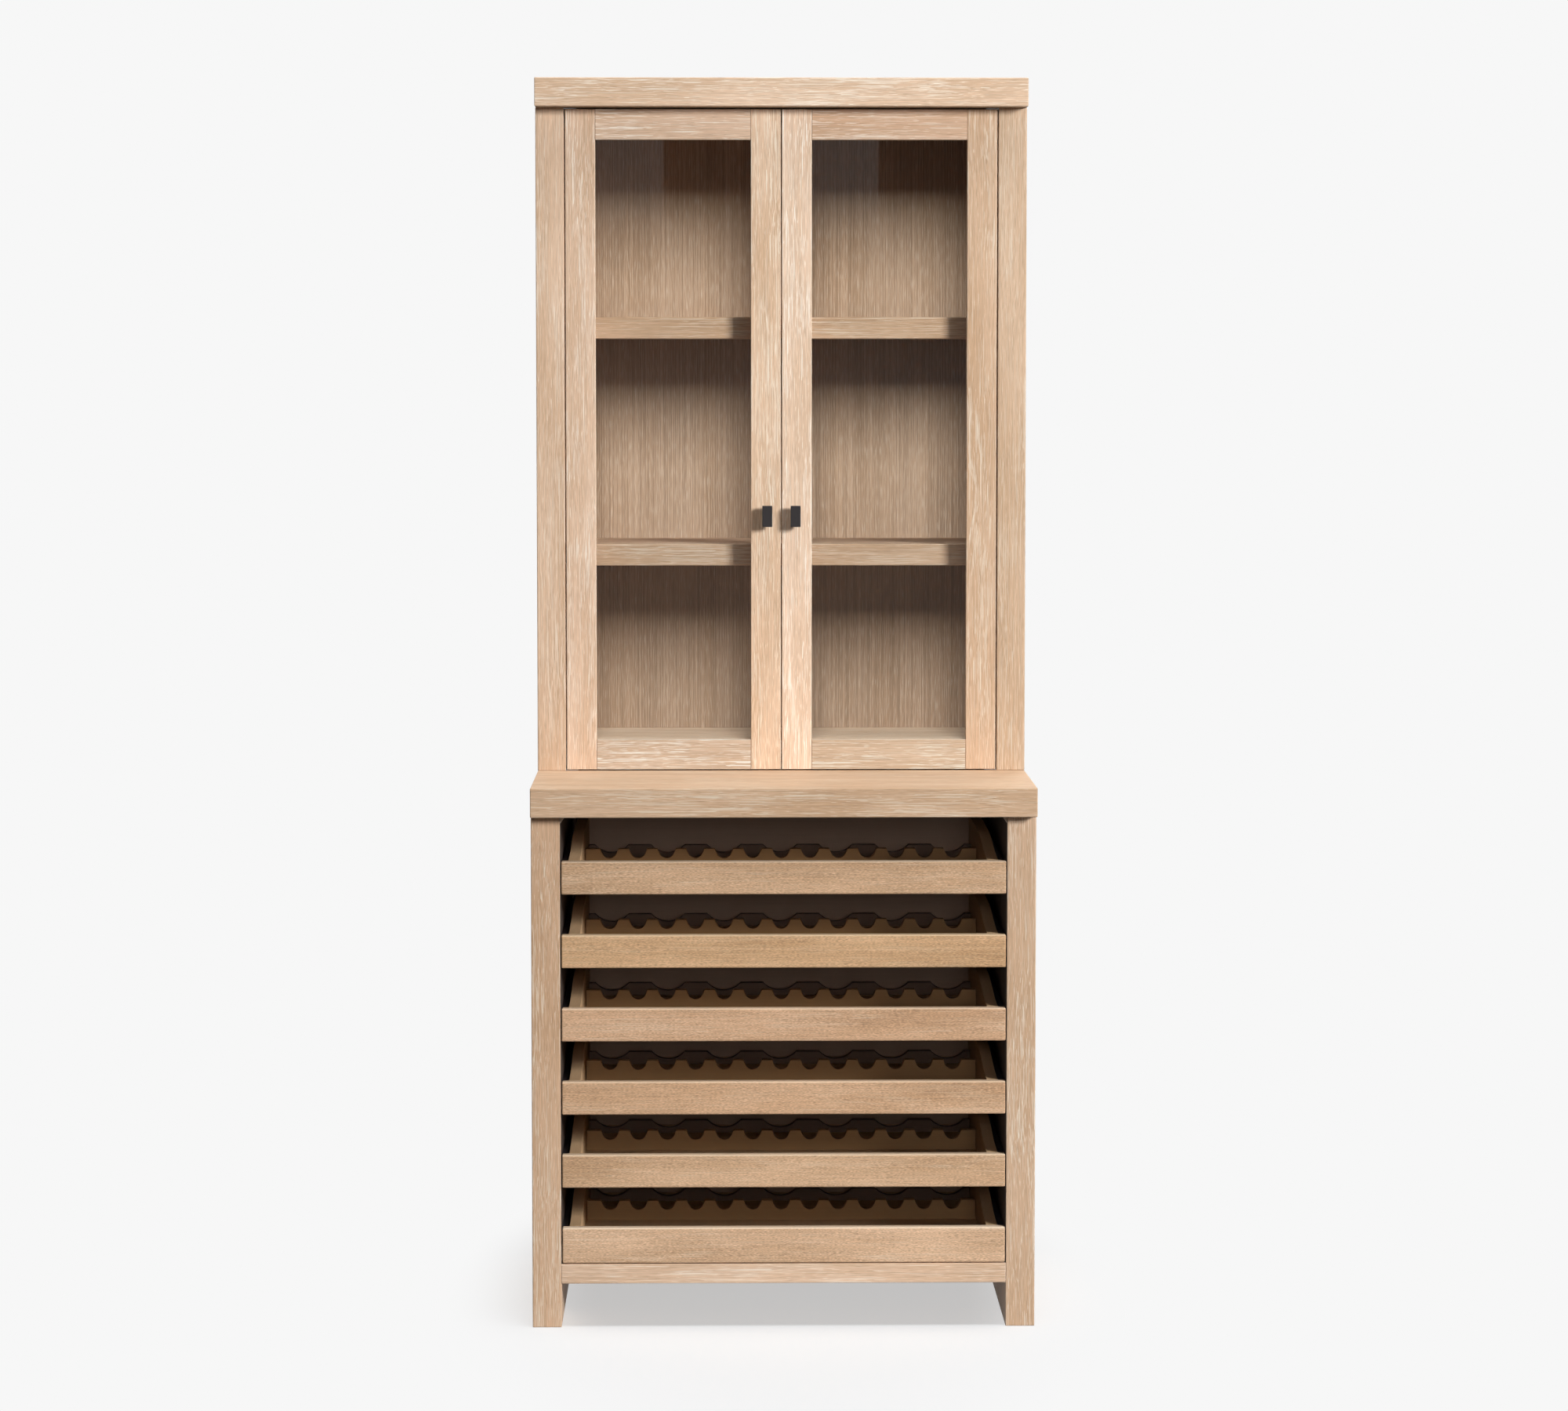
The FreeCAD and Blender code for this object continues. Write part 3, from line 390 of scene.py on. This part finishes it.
# Cleats
# Three-cornered oak strips, glued and screwed under the counter along each side panel.
dress("counter_cleats", oak("cleat_oak", "Y", (0.2, 0.6), 6.0,
                             twin=("X", 0.0, (0.95, 0.95, 0.95))))

# Drawer slides
# Side-mounted slides of black zinc-plated steel: one member on the cabinet, one that
# travels half way, and one on the drawer.


def metal(name, colour, roughness, metallic, grain=(90.0, 90.0, 90.0)):
    """Plain metal, or plain rubber where metallic is 0, uneven in colour and polish."""
    material, steel = open_material(name)
    place = object_place(steel)
    space = vector(place["X"], place["Y"], place["Z"])
    cloud = noise(space, grain, 3.0)
    speck = noise(space, (2400.0, 2400.0, 2400.0), 1.0)
    dull, bright = (tuple(share * part for part in colour) for share in (0.82, 1.18))
    tone = blend(cloud, dull, bright)
    sockets = {"Base Color": tone, "Roughness": roughness - 0.08 + 0.16 * cloud,
               "Metallic": metallic, "Normal": bump(speck, 0.15, 0.0001)}
    return close_material(material, tone.node("ShaderNodeBsdfPrincipled", None, sockets))


slide_steel = metal("slide_steel", (0.10, 0.105, 0.125), 0.42, 0.4, (20.0, 3.0, 60.0))
dress("cabinet_slides", slide_steel)

# Drawers
# Six pull-out bottle trays. Each has an oak front with no handle, a box of paler wood whose
# sides sweep up behind the front, three notched racks, and a pair of slides.

# The fronts from the top down: where the heart of the tree lay, the tint, and the lime
DRAWER_LOOKS = (
    {"heart": (0.9, 0.55), "tint": (0.825, 0.75, 0.65), "lime": 0.36},
    {"heart": (0.2, 0.30), "tint": (0.83, 0.73, 0.575), "lime": 0.2, "ring": 0.011},
    {"heart": (-0.6, 0.5), "tint": (0.84, 0.74, 0.64), "lime": 0.3},
    {"heart": (1.0, 0.25), "tint": (0.82, 0.72, 0.61), "lime": 0.26},
    {"heart": (-0.9, 0.2), "tint": (0.84, 0.765, 0.66), "lime": 0.28},
    {"heart": (0.7, -0.2), "tint": (0.92, 0.86, 0.78), "lime": 0.26},
)
# How far the edges of a front are rounded
FRONT_EDGE = 0.0024


def eased_board(name, node, radius):
    """A board in the place of a node of the model, with all its edges and corners rounded."""
    low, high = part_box(node)
    solid = bmesh.new()
    bmesh.ops.create_cube(solid, size=1.0)
    for corner in solid.verts:
        corner.co = [low[i] + (corner.co[i] + 0.5) * (high[i] - low[i]) for i in range(3)]
    bmesh.ops.bevel(solid, geom=solid.edges[:], offset=radius, segments=4, profile=0.5,
                    affect="EDGES")
    mesh = bpy.data.meshes.new(name)
    solid.to_mesh(mesh)
    solid.free()
    board = bpy.data.objects.new(name, mesh)
    bpy.context.scene.collection.objects.link(board)
    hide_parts(node)
    return board


BACK_BOARD_THICKNESS = 0.018
behind_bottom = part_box("drawer_1_box")[1].y - BACK_BOARD_THICKNESS - PAST_FACE
# A level between the middle rack and the rear one
BEHIND_MIDDLE_RACK = 0.10
TRAY_EDGE = 0.0008
BOX_WOOD = (0.56, 0.375, 0.215)
# The back board and the rear rack are darker: painted shade deep in the drawer
SHADED_BACK_BOARD_WOOD = (0.44, 0.305, 0.225)
RACK_WOOD = (0.37, 0.215, 0.10)
SHADED_REAR_RACK_WOOD = (0.20, 0.125, 0.09)


def drawer_wood(name, along, seed, colour, rear_level, painted_shade_colour, flow=None):
    """Smooth close-grained wood without lime, planed and lacquered.

    What lies behind rear_level, a back board or a rear rack, takes painted_shade_colour:
    painted shade deep in the drawer."""
    material, wood = open_material(name)
    place = object_place(wood)
    if flow is None:
        run = place[along]
        over, through = (place[axis] for axis in "XYZ" if axis != along)
    else:
        run, over, through = flow(place)
    space = vector(run + seed, over, through)
    fibre = noise(space, (9.0, 500.0, 500.0), 2.0, 0.6)
    cloud = noise(space, (4.0, 30.0, 30.0), 2.0)
    dull, bright = (tuple(share * part for part in colour) for share in (0.92, 1.08))
    tone = blend(above(place["Y"], rear_level), blend(cloud, dull, bright), painted_shade_colour)
    return lacquered(material, tone * (0.93 + 0.14 * fibre), 0.58 + 0.08 * cloud,
                     bump(fibre, 0.15, 0.0002, TRAY_EDGE), 0.12)


def tray_flow(place):
    """The sides' and bottom's grain runs to the back, and that of the back board across."""
    crosswise = above(place["Y"], behind_bottom)
    run = place["Y"] + (place["X"] - place["Y"]) * crosswise
    over = place["X"] + (place["Y"] - place["X"]) * crosswise
    return run, over, place["Z"]


def upper_edge_highlight(low, high):
    """The eased upper edge of a front, lightened as a painted highlight."""
    return lambda place: 0.8 * ease(place["Z"], high.z - FRONT_EDGE, high.z - FRONT_EDGE / 2)


for number, look in enumerate(DRAWER_LOOKS, start=1):
    drawer = f"drawer_{number}"
    front = eased_board(f"{drawer}_front_board", f"{drawer}_front", FRONT_EDGE)
    front.data.materials.append(oak(f"{drawer}_front_oak", "X", seed=13.0 + 2.7 * number,
                                    figure=0.01, grit=0.85, fleck=0.0042, patch=0.16,
                                    highlight=upper_edge_highlight(*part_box(f"{drawer}_front")), **look))
    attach(front, drawer)
    dress(f"{drawer}_box", drawer_wood(f"{drawer}_box_wood", "Y", 31.0 + number, BOX_WOOD,
                                       behind_bottom, SHADED_BACK_BOARD_WOOD, tray_flow))
    dress(f"{drawer}_racks", drawer_wood(f"{drawer}_rack_wood", "X", 47.0 + number,
                                         RACK_WOOD, BEHIND_MIDDLE_RACK, SHADED_REAR_RACK_WOOD))
    dress(f"{drawer}_runners", slide_steel)
    dress(f"{drawer}_moving_slides", slide_steel)

# Hutch side panels
# Oak slabs like those of the base, set back on the counter, with rows of holes inside for
# the shelf pins.
hutch_inner_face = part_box("hutch_side_right")[0].x
behind_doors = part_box("door_left_stiles")[1].y + 0.001


def painted_shade_behind_doors(place):
    """The sides' inner faces behind the doors are darkened: painted shade inside the hutch."""
    outside = above(unsigned(place["X"]), hutch_inner_face + PAST_FACE)
    return 0.4 * (1 - outside) * above(place["Y"], behind_doors)


for side, sign, seed, tint in (("left", -1, 18.37, (1.0, 0.99, 0.975)),
                               ("right", 1, 23.97, (0.89, 0.88, 0.845))):
    finish = oak(f"hutch_side_oak_{side}", "Z", (0.56 * sign, 0.25), seed, tint=tint, lime=0.48,
                 figure=0.01, ring=0.0045, glued=True, painted_shade=painted_shade_behind_doors)
    dress(f"hutch_side_{side}", finish)

# Cornice, top panel and floor
# A thick overhanging slab closes the hutch, over a thinner panel; the floor slab lies on
# the counter. All three have their grain from side to side.
dress("hutch_cornice", oak("cornice_oak", "X", (-0.25, 2.14), 30.37, tint=(1.0, 1.01, 1.01),
                           lime=0.7, figure=0.02, glued=True))
# The top panel is toned darker: painted shade inside the hutch.
dress("hutch_top_panel", oak("top_panel_oak", "X", (0.3, 1.6), 34.37, tint=(0.7, 0.7, 0.7),
                             glued=True))
dress("hutch_floor", oak("hutch_floor_oak", "X", (0.3, 0.6), 38.37,
                         tint=(0.82, 0.84, 0.85), glued=True))

# Joining bolts
# Four zinc-plated steel bolts come up through the counter into the hutch's floor slab and
# hold the two cabinets together.
zinc = metal("zinc_plate", (0.62, 0.63, 0.65), 0.34, 0.9)
dress("joining_bolts", zinc)

# Shelves
# Two thick oak shelves that lie loose on zinc-plated pins, four to each shelf. The pins
# stand in holes in the side panels.


def painted_shade_underneath(level):
    """The underside at this level is darkened: painted shade under the shelf."""
    return lambda place: 0.5 * (1 - above(place["Z"], level + PAST_FACE))


for name, seed, level, tint in (("shelf_lower", 41.0, 1.3, (0.91, 0.86, 0.83)),
                                ("shelf_upper", 43.0, 1.9, (0.975, 0.885, 0.82))):
    dress(name, oak(f"{name}_oak", "X", (0.5, level), seed, lime=0.62, ring=0.004,
                    tint=tint, glued=True, painted_shade=painted_shade_underneath(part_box(name)[0].z)))
dress("shelf_pins", zinc)

# Door pivots and bumpers
# Zinc-plated steel brackets let into the side panels, each with the pin that a door turns
# on, and pale soft bumpers on the floor slab and top panel, which the closed doors meet.
dress("pivot_brackets", zinc)
dress("door_bumpers", metal("bumper_rubber", (0.72, 0.71, 0.68), 0.5, 0.0))

# Doors
# Each door is a frame of two full-height stiles with two rails between them, rabbeted at
# the back for a pane that four beads hold in.
BEAD_WIDTH = 0.008


def bead_flow(low, high):
    """Upright beads have upright grain, and the level ones between them have it crosswise."""
    middle, half = (low.x + high.x) / 2, (high.x - low.x) / 2

    def flow(place):
        upright = above(unsigned(place["X"] - middle), half - BEAD_WIDTH)
        run = place["X"] + (place["Z"] - place["X"]) * upright
        over = place["Z"] + (place["X"] - place["Z"]) * upright
        return run, over, place["Y"]

    return flow


# How far from a rail's end the dark line starts and is full
SEAM_START = 0.0013
SEAM_FULL = 0.0005


def rail_seams(low, high):
    """The fine dark lines where the rails' ends meet the stiles."""
    middle, half = (low.x + high.x) / 2, (high.x - low.x) / 2

    def seam(place):
        return ease(unsigned(place["X"] - middle), half - SEAM_START, half - SEAM_FULL)

    return seam


# Each door's boards: its left and right stile, then its upper and lower rail
STILE_TINTS = {"left": ((1.05, 1.05, 1.06), (1.04, 1.035, 1.01)),
               "right": ((1.17, 1.22, 1.28), (0.895, 0.86, 0.81))}
RAIL_TINTS = {"left": ((0.98, 0.985, 1.0), (0.845, 0.905, 0.955)),
              "right": ((0.92, 0.875, 0.85), (0.775, 0.815, 0.82))}
for side, seed in (("left", 53.0), ("right", 61.0)):
    low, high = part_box(f"door_{side}_stiles")
    across, halfway_up = (low.x + high.x) / 2, (low.z + high.z) / 2
    left_tint, right_tint = STILE_TINTS[side]
    dress(f"door_{side}_stiles", oak(f"door_{side}_stile_oak", "Z", (across, 0.34), seed,
                                     tint=left_tint, lime=0.7, figure=0.012, ring=0.005,
                                     twin=("X", across, right_tint)))
    upper_tint, lower_tint = RAIL_TINTS[side]
    dress(f"door_{side}_rails", oak(f"door_{side}_rail_oak", "X", (0.55, 1.45), seed + 3.0,
                                    tint=lower_tint, lime=0.95,
                                    seam=rail_seams(*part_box(f"door_{side}_rails")),
                                    twin=("Z", halfway_up, upper_tint)))
    dress(f"door_{side}_beads", oak(f"door_{side}_bead_oak", "X", (0.5, 0.5), seed + 5.0,
                                    flow=bead_flow(*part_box(f"door_{side}_beads"))))

# Door glass
# Panes of clear float glass, 4 mm thick. Each lies in its door's rabbet, held from behind
# by the beads.


def float_glass():
    """Clear glass. Lamps shine straight through it, as they do through a real thin pane."""
    material, pane = open_material("float_glass")
    place = object_place(pane)
    space = vector(place["X"], place["Y"], place["Z"])
    sway = noise(space, (3.0, 3.0, 3.0), 1.0)
    sockets = {"Base Color": (0.93, 0.95, 0.94, 1.0), "Roughness": 0.0, "IOR": 1.5,
               "Transmission Weight": 1.0, "Normal": bump(sway, 0.05, 0.0004)}
    clear = pane.node("ShaderNodeBsdfPrincipled", None, sockets)
    through = pane.node("ShaderNodeBsdfTransparent", None, {"Color": (0.93, 0.94, 0.935, 1.0)})
    ray = pane.node("ShaderNodeLightPath", output="Is Shadow Ray")
    lit = ray.node("ShaderNodeMath", {"operation": "MAXIMUM"},
                   {0: ray, 1: ray.part("Is Diffuse Ray")})
    return close_material(material, pane.node("ShaderNodeMixShader", None,
                                              {0: lit, 1: clear, 2: through}))


glass = float_glass()
for side in ("left", "right"):
    dress(f"door_{side}_glass", glass)

# Door knobs
# Small upright blocks of satin black metal on round posts, each held by a screw from behind.
black_iron = metal("black_iron", (0.026, 0.022, 0.023), 0.46, 0.2, (60.0, 60.0, 60.0))
for side in ("left", "right"):
    dress(f"door_{side}_knob", black_iron)

# Studio
# A plain pale floor and background. A soft key lamp stands to the right in front, another
# hangs overhead, two wide ones at the left and behind light the other sides, and a weak
# one beside the camera lifts the shadows.
PALE = 0.93
FLOOR_PAINT = (0.665, 0.682, 0.70)
# What the floor lacks of the background's level where the lamps light it fully
FLOOR_LIFT = 0.5152
# How far from the middle the floor starts to fade, and is as pale as the background
FADE = (0.6, 1.15)


def show_pale(shade):
    """1 for rays that see the pale background: from the camera, a gloss or through glass."""
    ray = shade.node("ShaderNodeLightPath", output="Is Camera Ray")
    return at_most_one(ray + ray.part("Is Glossy Ray") + ray.part("Is Transmission Ray"))


def glow(shade, level):
    return shade.node("ShaderNodeEmission", None, {"Color": level})


def floor_material():
    """Pale floor that keeps part of the object's shadow and fades out to the background."""
    material, ground = open_material("studio_floor")
    place = object_place(ground)
    aside = place["X"] * 2.0
    distance = root(aside * aside + place["Y"] * place["Y"])
    seen = show_pale(ground)
    matt = ground.node("ShaderNodeBsdfDiffuse", None, {"Color": (*FLOOR_PAINT, 1.0)})
    lift = glow(ground, seen * FLOOR_LIFT)
    near = ground.node("ShaderNodeAddShader", None, {0: matt, 1: lift})
    away = glow(ground, seen * PALE)
    shares = {0: ease(distance, *FADE), 1: near, 2: away}
    return close_material(material, ground.node("ShaderNodeMixShader", None, shares))


def stage_sheet(name, corners, material):
    """A flat sheet that belongs to the studio and not to the object."""
    mesh = bpy.data.meshes.new(name)
    mesh.from_pydata(corners, [], [(0, 1, 2, 3)])
    sheet = bpy.data.objects.new(name, mesh)
    sheet.data.materials.append(material)
    bpy.context.scene.collection.objects.link(sheet)
    return sheet


reach = 40.0
floor_corners = [(-reach, -reach, 0), (reach, -reach, 0), (reach, reach, 0), (-reach, reach, 0)]
floor = stage_sheet("studio_floor", floor_corners, floor_material())

world = bpy.data.worlds.new("studio")
world.use_nodes = True
world.node_tree.nodes.clear()
sky = Shade(world.node_tree)
seen = show_pale(sky)
up = sky.node("ShaderNodeSeparateXYZ", None,
              {0: sky.node("ShaderNodeTexCoord", output="Generated")}, "Z")
ambient = 0.015 + 0.035 * ease(up, -0.1, 0.9)
sky_light = sky.node("ShaderNodeBackground", None,
                     {"Color": ambient + (PALE - ambient) * seen})
sky.node("ShaderNodeOutputWorld", None, {"Surface": sky_light})
bpy.context.scene.world = world


def lit_group(name, pieces, spared=False):
    """The pieces that a lamp lights alone or, where they are spared, those that it misses."""
    group = bpy.data.collections.new(name)
    for piece in pieces:
        group.objects.link(piece)
    for entry in group.collection_objects:
        entry.light_linking.link_state = "EXCLUDE" if spared else "INCLUDE"
    return group


def lamp(name, place, target, size, level, group=None):
    """A soft lamp. Level is how bright it makes white paint that faces it square on."""
    away = Vector(place) - Vector(target)
    data = bpy.data.lights.new(name, "AREA")
    data.shape = "RECTANGLE"
    data.size, data.size_y = size
    data.energy = level * math.pi * math.pi * away.length_squared
    item = bpy.data.objects.new(name, data)
    item.location = place
    item.rotation_euler = (-away).to_track_quat("-Z", "Y").to_euler()
    item.visible_camera = False
    item.visible_glossy = False
    if group is not None:
        item.light_linking.receiver_collection = group
    bpy.context.scene.collection.objects.link(item)


# The back of the hutch has its own lamp, high in front, so that each shelf shades the top
# of the space below it and the stiles' shadows stay behind them. What lies deep in the
# base behind the drawers' fronts has a faint card of its own.
off_floor = lit_group("all_but_floor", [floor], spared=True)
hutch_inside = [nodes["hutch_back"], nodes["hutch_floor"]]
inside = lit_group("hutch_inside", hutch_inside)
outside = lit_group("all_but_hutch_inside", [*hutch_inside, floor], spared=True)
deep_ends = ("_racks", "_box", "_slides", "_runners")
deep = lit_group("base_inside", [node for name, node in nodes.items()
                                 if name == "base_back" or name.endswith(deep_ends)])
middle = (0.0, -0.1, 1.05)
lamp("key", (5.5, -6.5, 3.7), middle, (2.0, 2.2), 1.13, outside)
lamp("overhead", (0.55, -1.0, 8.0), (0.0, -0.3, 0.9), (2.2, 2.2), 0.64)
lamp("left_fill", (-7.5, 1.8, 3.0), middle, (3.0, 3.0), 0.48, off_floor)
lamp("back_fill", (2.6, 7.4, 3.6), middle, (3.0, 3.0), 0.75, off_floor)
lamp("camera_fill", (-0.6, -8.0, 2.1), middle, (3.0, 2.8), 0.025, outside)
lamp("front_lamp", (0.28, -5.0, 4.48), (0.0, 0.28, 1.45), (2.2, 2.7), 1.80, inside)
lamp("low_card", (0.3, -6.5, 1.7), (0.0, 0.2, 0.5), (2.0, 1.0), 0.10, deep)

# The left and right ends of the flag's grey strips
FLAG_STRIPS = ((-0.531, -0.297), (0.212, 0.441))


def flag_material():
    """Dark cloth, greyer low down and in two strips that the tops of the panes reflect."""
    material, cloth = open_material("studio_flag")
    place = object_place(cloth)
    first, second = (above(place["X"], left) - above(place["X"], right)
                     for left, right in FLAG_STRIPS)
    strips = 0.24 * (first + second) * ease(place["Z"], 1.93, 2.12)
    low_grey = 0.03 + 0.16 * (1 - ease(place["Z"], 1.45, 1.85))
    return close_material(material, glow(cloth, low_grey + strips))


# The dark flag behind the camera shows in reflections alone. It keeps the inside of the
# hutch deep behind its panes.
half_wide, away, foot, top = 1.3, -7.5, 0.02, 3.0
flag_corners = [(-half_wide, away, foot), (half_wide, away, foot),
                (half_wide, away, top), (-half_wide, away, top)]
flag = stage_sheet("studio_flag", flag_corners, flag_material())
flag.visible_camera = False
flag.visible_diffuse = False
flag.visible_shadow = False

# Camera
# Just below the upper shelf's level and a little left of the middle, turned slightly down
# and right, so that the counter's top and the drawers' racks show as in the photograph.
DEGREES_DOWN = 4.037
DEGREES_RIGHT = 0.856
camera_data = bpy.data.cameras.new("camera")
camera_data.sensor_width = 36.0
camera_data.lens = 96.56
camera_data.shift_y = -0.03
camera = bpy.data.objects.new("camera", camera_data)
camera.location = (-0.1, -7.0, 1.56)
camera.rotation_euler = (math.radians(90.0 - DEGREES_DOWN), 0.0, math.radians(-DEGREES_RIGHT))
bpy.context.scene.collection.objects.link(camera)
bpy.context.scene.camera = camera
bpy.context.scene.view_settings.view_transform = "Standard"
